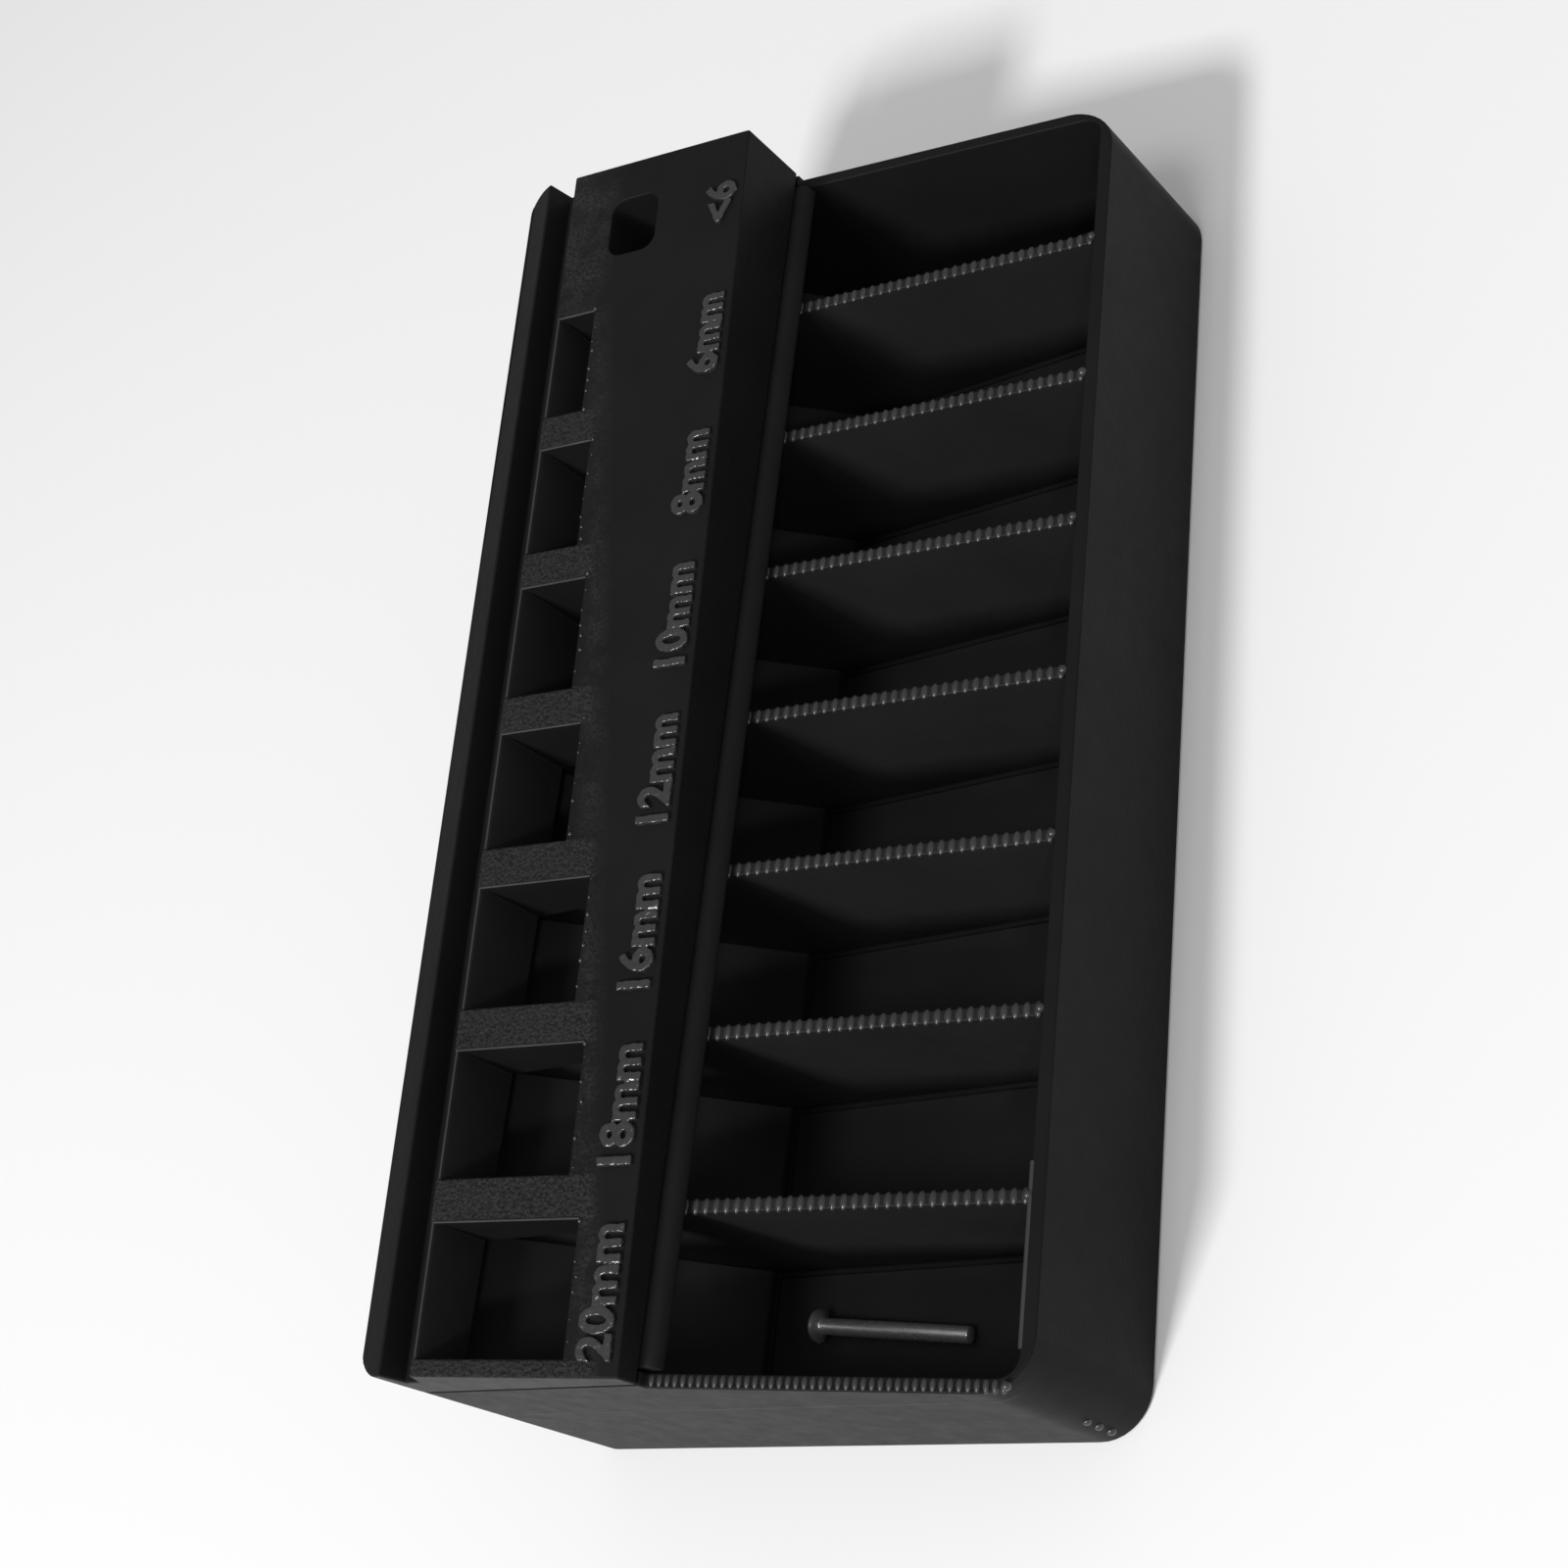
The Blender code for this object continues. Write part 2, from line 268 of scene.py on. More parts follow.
class SorterFinish(bpy.types.PropertyGroup):
    """Colours of the plastic, the pin and the floor"""
    plastic: colour_prop("Plastic", "Black of the print", (0.0090, 0.0090, 0.0094))
    plastic_light: colour_prop("Plastic light", "Greyer patches of the print", (0.0118, 0.0118, 0.0123))
    steel: colour_prop("Steel", "Bright drawn steel", (0.95, 0.945, 0.93))
    floor: colour_prop("Floor", "Pale studio floor", (0.85, 0.85, 0.85))
    gloss: FloatProperty(name="Gloss", description="Specular level of the plastic", default=0.055,
                         min=0.0, max=1.0, subtype='FACTOR')


class SorterView(bpy.types.PropertyGroup):
    """Where the camera stands"""
    azimuth: angle_prop("Azimuth", "Turn of the camera round the sorter", 54.9)
    elevation: angle_prop("Elevation", "Height of the camera above the floor", 42.96)
    roll: angle_prop("Roll", "Turn of the camera about its own line of sight", -57.4)
    distance: length_prop("Distance", "From the camera to its target", 0.2864)
    target: FloatVectorProperty(name="Target", description="Point that the camera looks at",
                                default=(-0.0031, -0.0038, 0.02435), subtype='TRANSLATION')
    lens: FloatProperty(name="Lens", description="Focal length in millimetres", default=54.39)
    shift_x: FloatProperty(name="Shift X", description="Sideways shift of the frame", default=0.0088)
    shift_y: FloatProperty(name="Shift Y", description="Upward shift of the frame", default=-0.0135)


def sizes():
    return bpy.context.scene.sorter_sizes


def finish():
    return bpy.context.scene.sorter_finish


# Heights on the sorter

def deck_height(x, y):
    """Height of the deck's top plane."""
    s = sizes()
    along = s.deck_rise * (y - TRAY_LOW.y) / (TRAY_HIGH.y - TRAY_LOW.y)
    return s.deck_near + along + (DECK_HIGH.x - x) * math.tan(s.deck_lean)


def rim_height(x):
    """Height of the end walls' sloping rim."""
    s = sizes()
    share = (x - DECK_HIGH.x) / (TRAY_HIGH.x - DECK_HIGH.x)
    return s.rim_left + (s.rim_right - s.rim_left) * share


# Materials

def add_node(tree, kind, settings=None, inputs=None):
    made = tree.nodes.new(kind)
    for key, value in (settings or {}).items():
        setattr(made, key, value)
    for key, value in (inputs or {}).items():
        if isinstance(value, bpy.types.NodeSocket):
            tree.links.new(value, made.inputs[key])
        else:
            made.inputs[key].default_value = value
    return made


def math_node(tree, operation, *values):
    made = add_node(tree, "ShaderNodeMath", {"operation": operation}, dict(enumerate(values)))
    return made.outputs[0]


def axes_node(tree, vector):
    return add_node(tree, "ShaderNodeSeparateXYZ", None, {0: vector}).outputs


def noise_node(tree, place, scale, detail=3.0, roughness=0.6):
    made = add_node(tree, "ShaderNodeTexNoise", None,
                    {"Vector": place, "Scale": scale, "Detail": detail, "Roughness": roughness})
    return made.outputs[0]


def spread(tree, value, low, high, from_low=0.3, from_high=0.7):
    """The value's range from from_low to from_high drawn out to the range from low to high."""
    made = add_node(tree, "ShaderNodeMapRange", None,
                    {0: value, 1: from_low, 2: from_high, 3: low, 4: high})
    return made.outputs[0]


def mixed_colour(tree, share, first, second):
    made = add_node(tree, "ShaderNodeMix", {"data_type": 'RGBA'}, {0: share, 6: first, 7: second})
    return made.outputs[2]


def strength_of(colour, share):
    """A colour made lighter or darker, with full alpha."""
    return [channel * share for channel in colour] + [1.0]


def new_material(name):
    made = bpy.data.materials.new(name)
    made.use_nodes = True
    tree = made.node_tree
    return made, tree, tree.nodes["Principled BSDF"]


def printed_plastic(name, roughness, painted_light=1.0, gloss=None, layer=0.0, mottle=0.00001, mottle_scale=900.0,
                    rough_mask=None, ledge_height=None):
    """Black plastic in printed layers.

    Upright faces carry ridges as deep as layer, and all faces carry a mottle as deep as mottle. A mask can
    add pebbles, and a height puts a small ledge across the near face.
    """
    made, tree, shader = new_material(name)
    place = add_node(tree, "ShaderNodeTexCoord").outputs["Object"]
    axes = axes_node(tree, place)
    normal = add_node(tree, "ShaderNodeNewGeometry").outputs["Normal"]
    flat = math_node(tree, 'ABSOLUTE', axes_node(tree, normal)["Z"])
    upright = math_node(tree, 'SUBTRACT', 1.0, flat)

    wave = math_node(tree, 'MULTIPLY', noise_node(tree, place, WAVE_SCALE), WAVE_TURN)
    phase = math_node(tree, 'MULTIPLY_ADD', axes["Z"], 2 * math.pi / sizes().layer, wave)
    ridge = math_node(tree, 'MULTIPLY', math_node(tree, 'SINE', phase), upright)
    ridges = math_node(tree, 'MULTIPLY', ridge, layer)
    grain = noise_node(tree, place, mottle_scale, *MOTTLE_DETAIL)
    relief = math_node(tree, 'MULTIPLY_ADD', grain, mottle, ridges)

    # painted_light above one makes a lighter copy of the black that stands in for light: painted light lifting
    # shade, or painted highlights
    dark = strength_of(finish().plastic, painted_light)
    light = strength_of(finish().plastic_light, painted_light)
    tone = mixed_colour(tree, spread(tree, noise_node(tree, place, GREY_SCALE), 0.0, 1.0), dark, light)
    if ledge_height:
        face_start, face_end = (TRAY_LOW.y + reach for reach in LEDGE_FACE)
        near_face = spread(tree, axes["Y"], 1.0, 0.0, face_start, face_end)
        bottom, top = ledge_height - LEDGE_HALF, ledge_height + LEDGE_HALF
        ledge = spread(tree, axes["Z"], 0.0, LEDGE_DEPTH, bottom, top)
        relief = math_node(tree, 'MULTIPLY_ADD', ledge, near_face, relief)
    if rough_mask:
        mask = math_node(tree, 'MULTIPLY', rough_mask(tree, place), flat)
        pebble = noise_node(tree, place, PEBBLE_SCALE, *PEBBLE_DETAIL)
        depth = math_node(tree, 'MULTIPLY', pebble, PEBBLE_DEPTH)
        relief = math_node(tree, 'MULTIPLY_ADD', depth, mask, relief)
        # The pebble tops are greyer and carry painted highlights
        pale = strength_of(finish().plastic_light, PEBBLE_GREY_AND_HIGHLIGHT)
        share = math_node(tree, 'MULTIPLY', mask, spread(tree, pebble, *PEBBLE_SPREAD))
        tone = mixed_colour(tree, share, tone, pale)
    bump = add_node(tree, "ShaderNodeBump", None, {"Strength": 1.0, "Distance": 1.0, "Height": relief})
    glossy, matt = (roughness + change for change in DULL_SPREAD)
    dull = spread(tree, noise_node(tree, place, DULL_SCALE), glossy, matt)
    tree.links.new(tone, shader.inputs["Base Color"])
    tree.links.new(dull, shader.inputs["Roughness"])
    tree.links.new(bump.outputs[0], shader.inputs["Normal"])
    shader.inputs["Specular IOR Level"].default_value = finish().gloss if gloss is None else gloss
    return made


def bar_mask(tree, place):
    """One on the bars between the windows, the strip beside them and the patch by the hole, else nought."""
    axes = axes_node(tree, place)
    turns = math_node(tree, 'MULTIPLY_ADD', axes["Y"], 1 / PITCH, BAR_PHASE)
    off_bar = math_node(tree, 'ABSOLUTE', math_node(tree, 'SUBTRACT', math_node(tree, 'FRACT', turns), 0.5))
    bar = spread(tree, off_bar, 1.0, 0.0, BAR_HALF_SHARE - BAR_SOFT_SHARE, BAR_HALF_SHARE + BAR_SOFT_SHARE)
    limit = math_node(tree, 'MULTIPLY_ADD', axes["Y"], BAR_END_SLOPE, BAR_END_MIDDLE)
    inside = spread(tree, math_node(tree, 'SUBTRACT', limit, axes["X"]), 0.0, 1.0, 0.0, BAR_END_SOFT)
    bars = math_node(tree, 'MULTIPLY', bar, inside)

    blotch = spread(tree, noise_node(tree, place, BLOTCH_SCALE), *BLOTCH_SPREAD)
    middle = math_node(tree, 'MULTIPLY_ADD', axes["Y"], STRIP_SLOPE, STRIP_MIDDLE)
    off_strip = math_node(tree, 'ABSOLUTE', math_node(tree, 'SUBTRACT', axes["X"], middle))
    strip = math_node(tree, 'MULTIPLY', spread(tree, off_strip, STRIP_STRENGTH, 0.0, 0.0, STRIP_HALF), blotch)

    patch_limit = PATCH_START + PATCH_START_SOFT
    near_side = spread(tree, axes["Y"], 1.0, 0.0, PATCH_START, patch_limit)
    far_side = spread(tree, axes["Y"], 0.0, 1.0, PATCH_START, patch_limit)
    left_side = spread(tree, axes["X"], 1.0, 0.0, PATCH_END, PATCH_END + PATCH_END_SOFT)
    patch = math_node(tree, 'MULTIPLY', math_node(tree, 'MULTIPLY', far_side, left_side), blotch)

    rows = math_node(tree, 'MULTIPLY', math_node(tree, 'MAXIMUM', bars, strip), near_side)
    beside_groove = spread(tree, axes["X"], 0.0, 1.0, GROOVE_EDGE - GROOVE_SOFT, GROOVE_EDGE)
    return math_node(tree, 'MULTIPLY', math_node(tree, 'MAXIMUM', rows, patch), beside_groove)


def bright_steel(name):
    """Drawn steel with fine lines along the pin and a little dullness."""
    made, tree, shader = new_material(name)
    place = add_node(tree, "ShaderNodeTexCoord").outputs["Object"]
    stretched = add_node(tree, "ShaderNodeMapping", None, {"Vector": place, "Scale": DRAWN_STRETCH})
    lines = noise_node(tree, stretched.outputs[0], DRAWN_SCALE)
    dull = noise_node(tree, place, STEEL_DULL_SCALE)
    bright = strength_of(finish().steel, 1.0)
    worn = strength_of(finish().steel, STEEL_DULL_SHARE)
    tone = mixed_colour(tree, spread(tree, dull, 0.0, 1.0), bright, worn)
    bump = add_node(tree, "ShaderNodeBump", None,
                    {"Strength": DRAWN_STRENGTH, "Distance": DRAWN_DEPTH, "Height": lines})
    tree.links.new(tone, shader.inputs["Base Color"])
    tree.links.new(spread(tree, dull, *STEEL_ROUGHNESS), shader.inputs["Roughness"])
    tree.links.new(bump.outputs[0], shader.inputs["Normal"])
    shader.inputs["Metallic"].default_value = STEEL_METALLIC
    return made


# Meshes

def add_object(name, mesh, material=None):
    made = bpy.data.objects.new(name, mesh)
    bpy.context.scene.collection.objects.link(made)
    if material:
        mesh.materials.clear()
        mesh.materials.append(material)
    return made


def evaluated_mesh(piece):
    """The shape of a piece or of a text with all its modifiers, as a plain mesh."""
    bpy.context.view_layer.update()
    graph = bpy.context.evaluated_depsgraph_get()
    return bpy.data.meshes.new_from_object(piece.evaluated_get(graph), depsgraph=graph)


def settle(piece):
    """Make the piece's modifiers part of its mesh."""
    mesh = evaluated_mesh(piece)
    piece.modifiers.clear()
    piece.data = mesh
    return piece


def even_normals(piece, angle=40.0):
    """Smooth shading that leaves the large flat faces flat."""
    piece.data.shade_smooth()
    piece.data.set_sharp_from_angle(angle=math.radians(angle))
    step = piece.modifiers.new("even_normals", 'WEIGHTED_NORMAL')
    step.keep_sharp = True
    return settle(piece)


def mesh_from(bm, name):
    mesh = bpy.data.meshes.new(name)
    bm.to_mesh(mesh)
    bm.free()
    return mesh


def mesh_of(name, points, edges=(), faces=()):
    mesh = bpy.data.meshes.new(name)
    mesh.from_pydata(points, edges, faces)
    return mesh


def line_mesh(name, ends):
    """Straight lines, each between two points that follow each other in the list."""
    return mesh_of(name, ends, [(i, i + 1) for i in range(0, len(ends), 2)])


def rounded_copy(node, name, material, worn_edges=None, worn_size=0.0):
    """A CAD node's shape with its sharp edges rounded, some of them more than the rest."""
    bm = bmesh.new()
    bm.from_mesh(frame["nodes"][node].data)
    bmesh.ops.remove_doubles(bm, verts=bm.verts, dist=MERGE_DISTANCE)
    bmesh.ops.dissolve_limit(bm, angle_limit=FACET_ANGLE, verts=bm.verts, edges=bm.edges)
    if worn_edges:
        worn = [e for e in bm.edges if worn_edges(e)]
        bmesh.ops.bevel(bm, geom=worn, offset=worn_size, offset_type='OFFSET', segments=WORN_SEGMENTS,
                        profile=0.5, affect='EDGES', clamp_overlap=True)
    sharp = [e for e in bm.edges if len(e.link_faces) == 2 and e.calc_face_angle() > SHARP_ANGLE]
    bmesh.ops.bevel(bm, geom=sharp, offset=sizes().edge_round, offset_type='OFFSET', segments=ROUND_SEGMENTS,
                    profile=0.5, affect='EDGES', clamp_overlap=False)
    return even_normals(add_object(name, mesh_from(bm, name), material))


def dress(piece, body, slot, *nodes):
    """Let the piece move with a body and stand for CAD nodes; slot is not used."""
    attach(piece, body)
    if nodes:
        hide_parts(*nodes)
    return piece


# Geometry Nodes

def new_tree(name, sockets):
    """A tree with an input for each named size or count, and one for the finish."""
    tree = bpy.data.node_groups.new(name, 'GeometryNodeTree')
    tree.interface.new_socket("Geometry", in_out='INPUT', socket_type='NodeSocketGeometry')
    for label in sockets:
        kind = 'NodeSocketInt' if label == "Seed" else 'NodeSocketFloat'
        tree.interface.new_socket(label, in_out='INPUT', socket_type=kind)
    tree.interface.new_socket("Finish", in_out='INPUT', socket_type='NodeSocketMaterial')
    tree.interface.new_socket("Geometry", in_out='OUTPUT', socket_type='NodeSocketGeometry')
    return tree, tree.nodes.new("NodeGroupInput"), tree.nodes.new("NodeGroupOutput")


def end_tree(tree, source, target, geometry):
    """Real geometry with smooth shading and its finish."""
    real = add_node(tree, "GeometryNodeRealizeInstances", None, {"Geometry": geometry}).outputs[0]
    smooth = add_node(tree, "GeometryNodeSetShadeSmooth", None, {"Geometry": real}).outputs[0]
    painted = add_node(tree, "GeometryNodeSetMaterial", None,
                       {"Geometry": smooth, "Material": source.outputs["Finish"]}).outputs[0]
    tree.links.new(painted, target.inputs["Geometry"])
    return tree


def bead_tree():
    """Rounded layer ends at even steps along the input's edges."""
    tree, source, target = new_tree("layer_ends", ("Step", "Length", "Width", "Height"))
    curve = add_node(tree, "GeometryNodeMeshToCurve", None, {"Mesh": source.outputs["Geometry"]}).outputs[0]
    points = add_node(tree, "GeometryNodeCurveToPoints", {"mode": 'LENGTH'},
                      {"Curve": curve, "Length": source.outputs["Step"]})
    turn = add_node(tree, "FunctionNodeAlignRotationToVector", {"axis": 'X'},
                    {"Vector": points.outputs["Tangent"]})
    ball = add_node(tree, "GeometryNodeMeshUVSphere", None, {"Segments": 10, "Rings": 6, "Radius": 0.5})
    scale = add_node(tree, "ShaderNodeCombineXYZ", None,
                     {"X": source.outputs["Length"], "Y": source.outputs["Width"],
                      "Z": source.outputs["Height"]})
    placed = add_node(tree, "GeometryNodeInstanceOnPoints", None,
                      {"Points": points.outputs["Points"], "Instance": ball.outputs[0],
                       "Rotation": turn.outputs[0], "Scale": scale.outputs[0]})
    return end_tree(tree, source, target, placed.outputs[0])


def balls_on(tree, source, points):
    """Small balls of uneven size on points."""
    size = add_node(tree, "FunctionNodeRandomValue", {"data_type": 'FLOAT'},
                    {2: source.outputs["Smallest"], 3: source.outputs["Largest"],
                     "Seed": source.outputs["Seed"]})
    ball = add_node(tree, "GeometryNodeMeshIcoSphere", None, {"Radius": 0.5, "Subdivisions": 2}).outputs[0]
    return add_node(tree, "GeometryNodeInstanceOnPoints", None,
                    {"Points": points, "Instance": ball, "Scale": size.outputs[1]}).outputs[0]


def speck_tree():
    """Small blobs strewn over the input's faces."""
    tree, source, target = new_tree("print_specks", ("Density", "Smallest", "Largest", "Seed"))
    points = add_node(tree, "GeometryNodeDistributePointsOnFaces", {"distribute_method": 'RANDOM'},
                      {"Mesh": source.outputs["Geometry"], "Density": source.outputs["Density"],
                       "Seed": source.outputs["Seed"]}).outputs["Points"]
    return end_tree(tree, source, target, balls_on(tree, source, points))


def blob_tree():
    """Small blobs on the input's points."""
    tree, source, target = new_tree("print_blobs", ("Smallest", "Largest", "Seed"))
    return end_tree(tree, source, target, balls_on(tree, source, source.outputs["Geometry"]))


def thread_tree():
    """Thin round threads along the input's edges."""
    tree, source, target = new_tree("print_threads", ("Radius",))
    curve = add_node(tree, "GeometryNodeMeshToCurve", None, {"Mesh": source.outputs["Geometry"]}).outputs[0]
    ring = add_node(tree, "GeometryNodeCurvePrimitiveCircle", None,
                    {"Resolution": 8, "Radius": source.outputs["Radius"]}).outputs[0]
    tube = add_node(tree, "GeometryNodeCurveToMesh", None,
                    {"Curve": curve, "Profile Curve": ring, "Fill Caps": True}).outputs[0]
    return end_tree(tree, source, target, tube)


def grown(name, mesh, tree, look, **values):
    """Run a tree on a mesh and keep the result as a plain mesh. Input names are given in lower case."""
    piece = add_object(name, mesh)
    step = piece.modifiers.new(tree.name, 'NODES')
    step.node_group = tree
    inputs = [item for item in tree.interface.items_tree if item.in_out == 'INPUT']
    sockets = {item.name.lower(): item.identifier for item in inputs}
    for label, value in values.items():
        step[sockets[label]] = value
    step[sockets["finish"]] = look
    return settle(piece)


# Pieces

class SORTER_OT_tray(bpy.types.Operator):
    """Print the tray with rounded rims and smoother bin floors, with painted light on the bin floors and the
    inside of the left wall that lifts their shade
    """
    bl_idname = "sorter.tray"
    bl_label = "Tray"

    def execute(self, context):
        look = printed_plastic("tray_black", roughness=0.44, gloss=0.048, layer=0.000006, mottle=0.000003,
                               mottle_scale=300.0, ledge_height=LEDGE_HEIGHT)
        # Bin floors and the inside of the left wall are lighter copies of the black: painted light that lifts
        # their shade
        floor = printed_plastic("bin_floor_black", roughness=0.38, painted_light=2.5, gloss=0.1,
                                mottle_scale=600.0)
        inner = printed_plastic("inner_wall_black", roughness=0.45, painted_light=2.6, layer=0.000004,
                                mottle_scale=400.0)
        piece = rounded_copy("bin_tray", "tray_shell", look)
        piece.data.materials.append(floor)
        piece.data.materials.append(inner)
        for face in piece.data.polygons:
            if face.normal.z > TRAY_FACING and face.center.z < FLOOR_LIMIT:
                face.material_index = 1
            elif face.normal.x > TRAY_FACING and face.center.x < GROOVE_EDGE:
                face.material_index = 2
        dress(piece, "tray", "printed_plastic", "bin_tray")
        return {'FINISHED'}


class SORTER_OT_dividers(bpy.types.Operator):
    """Print the walls between the bins"""
    bl_idname = "sorter.dividers"
    bl_label = "Dividers"

    def execute(self, context):
        # The dividers are a lighter copy of the black: painted light that lifts the shade in the bins
        look = printed_plastic("divider_black", roughness=0.40, painted_light=1.6, layer=0.000010, mottle=0.00002,
                               mottle_scale=300.0)
        for node in DIVIDERS:
            name = node.replace("bin_divider", "divider_wall")
            dress(rounded_copy(node, name, look), "tray", "printed_plastic", node)
        return {'FINISHED'}


class SORTER_OT_beads(bpy.types.Operator):
    """Lay the layer ends along the dividers and the near rim, with the blobs and the line beside them, all in
    lighter copies of the black as painted highlights
    """
    bl_idname = "sorter.beads"
    bl_label = "Layer ends"

    def divider_row(self, node):
        """Both ends of the row on a divider's sloping edge."""
        low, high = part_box(node)
        y = (low.y + high.y) / 2
        start, end = DECK_HIGH.x + DECK_CLEARANCE, high.x - DIVIDER_END_INSET
        return (Vector((start, y, rim_height(start) - DIVIDER_DROPS[0])),
                Vector((end, y, rim_height(end) - DIVIDER_DROPS[1])))

    def rim_row(self):
        """Both ends of the row on the near wall's sloping rim."""
        y = TRAY_LOW.y + WALL / 2
        start, end = DECK_HIGH.x + DECK_CLEARANCE, TRAY_HIGH.x - RIM_END_INSET
        return Vector((start, y, rim_height(start))), Vector((end, y, rim_height(end)))

    def lay(self, name, rows, look, step, width, height):
        sink = Vector((0, 0, sizes().bead_height * BEAD_SINK))
        mesh = line_mesh(name + "_rows", [point - sink for row in rows for point in row])
        piece = grown(name, mesh, bead_tree(), look, step=step, length=step * BEAD_SHARE, width=width,
                      height=height)
        dress(piece, "tray", "printed_plastic")

    def corner_blobs(self):
        """Middles of the blobs in an upright row on the near right corner."""
        reach = CORNER_RADIUS - CORNER_BLOB_SINK
        x = TRAY_HIGH.x - CORNER_RADIUS + reach * math.sin(CORNER_BLOB_TURN)
        y = TRAY_LOW.y + CORNER_RADIUS - reach * math.cos(CORNER_BLOB_TURN)
        return [Vector((x, y, height)) for height in CORNER_BLOB_HEIGHTS]

    def execute(self, context):
        s = sizes()
        # Layer ends, blobs and the rim line are lighter copies of the black: painted highlights
        look = printed_plastic("layer_end_black", roughness=0.28, painted_light=3.0, gloss=0.5, mottle=0.00002)
        shine_and_painted_highlight = printed_plastic("rim_end_black", roughness=0.34, painted_light=3.4, gloss=0.45)
        rows = [self.divider_row(node) for node in DIVIDERS]
        rim = self.rim_row()
        self.lay("layer_ends", rows, look, s.bead_step, BEAD_WIDTH, s.bead_height)
        self.lay("rim_ends", [rim], shine_and_painted_highlight, RIM_STEP, WALL, RIM_BEAD_HEIGHT)
        ends = [row[1] + END_BLOB_SHIFT for row in rows + [rim]]
        piece = grown("end_blobs", mesh_of("end_blob_points", ends + self.corner_blobs()), blob_tree(), look,
                      smallest=END_BLOB_SIZES[0], largest=END_BLOB_SIZES[1], seed=5)
        dress(piece, "tray", "printed_plastic")
        edge = TRAY_HIGH.x - WALL
        span = [(edge, TRAY_LOW.y + along, s.rim_right) for along in RIM_LINE_SPAN]
        piece = grown("rim_line", line_mesh("rim_line_ends", span), thread_tree(), shine_and_painted_highlight,
                      radius=RIM_LINE_RADIUS)
        dress(piece, "tray", "printed_plastic")
        return {'FINISHED'}


class SORTER_OT_ramps(bpy.types.Operator):
    """Print the chutes under the deck, out to the dividers beside them"""
    bl_idname = "sorter.ramps"
    bl_label = "Ramps"

    def execute(self, context):
        # The chutes are a lighter copy of the black: painted light that lifts their shade under the deck and
        # in the windows
        look = printed_plastic("ramp_black", roughness=0.45, painted_light=2.8, layer=0.000004,
                               mottle_scale=400.0)
        for node in RAMPS:
            low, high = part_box(node)
            piece = rounded_copy(node, node.replace("chute_ramp", "ramp_face"), look)
            for vertex in piece.data.vertices:
                vertex.co.y += RAMP_GAP if vertex.co.y > (low.y + high.y) / 2 else -RAMP_GAP
            dress(piece, "tray", "printed_plastic", node)
        return {'FINISHED'}


class SORTER_OT_feet(bpy.types.Operator):
    """Print the threads that close the feet of the dividers and the toes of the ramps"""
    bl_idname = "sorter.feet"
    bl_label = "Feet"

    def execute(self, context):
        # The foot threads are a lighter copy of the black: painted light that lifts the shade at the feet
        look = printed_plastic("foot_black", roughness=0.45, painted_light=1.5, mottle_scale=600.0)
        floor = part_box(RAMPS[0])[0].z - RAMP_GAP
        toe = max(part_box(node)[1].x for node in RAMPS)
        lines = []
        for node in DIVIDERS:
            low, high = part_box(node)
            for y in (low.y - RAMP_GAP, high.y + RAMP_GAP):
                lines += [(toe, y, floor), (high.x, y, floor)]
        for node in RAMPS:
            low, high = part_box(node)
            lines += [(high.x, low.y, floor), (high.x, high.y, floor)]
        piece = grown("foot_threads", line_mesh("foot_lines", lines), thread_tree(), look, radius=FOOT_RADIUS)
        dress(piece, "tray", "printed_plastic")
        return {'FINISHED'}


class SORTER_OT_lintel(bpy.types.Operator):
    """Print the bar over the throat, with specks on its rounded side; the bar is a lighter copy of the black
    as painted light, the specks painted highlights
    """
    bl_idname = "sorter.lintel"
    bl_label = "Lintel"

    def execute(self, context):
        # The bar is a lighter copy of the black, painted light on its lit band; the specks are lighter still,
        # painted highlights
        look = printed_plastic("lintel_black", roughness=0.50, painted_light=1.6, gloss=0.03, mottle=0.00003,
                               mottle_scale=500.0)
        bright = printed_plastic("speck_black", roughness=0.24, painted_light=2.6, gloss=0.6)
        dress(rounded_copy("throat_lintel", "lintel_bar", look), "tray", "printed_plastic", "throat_lintel")
        low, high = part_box("throat_lintel")
        x0, x1 = (DECK_HIGH.x + reach for reach in SPECK_REACH)
        z0, z1 = high.z - SPECK_INSET[0], low.z + SPECK_INSET[1]
        corners = [(x0, low.y, z0), (x1, low.y, z1), (x1, high.y, z1), (x0, high.y, z0)]
        strip = mesh_of("speck_strip", corners, faces=[(0, 1, 2, 3)])
        piece = grown("lintel_specks", strip, speck_tree(), bright, density=SPECK_DENSITY,
                      smallest=SPECK_SIZES[0], largest=SPECK_SIZES[1], seed=7)
        dress(piece, "tray", "printed_plastic")
        return {'FINISHED'}


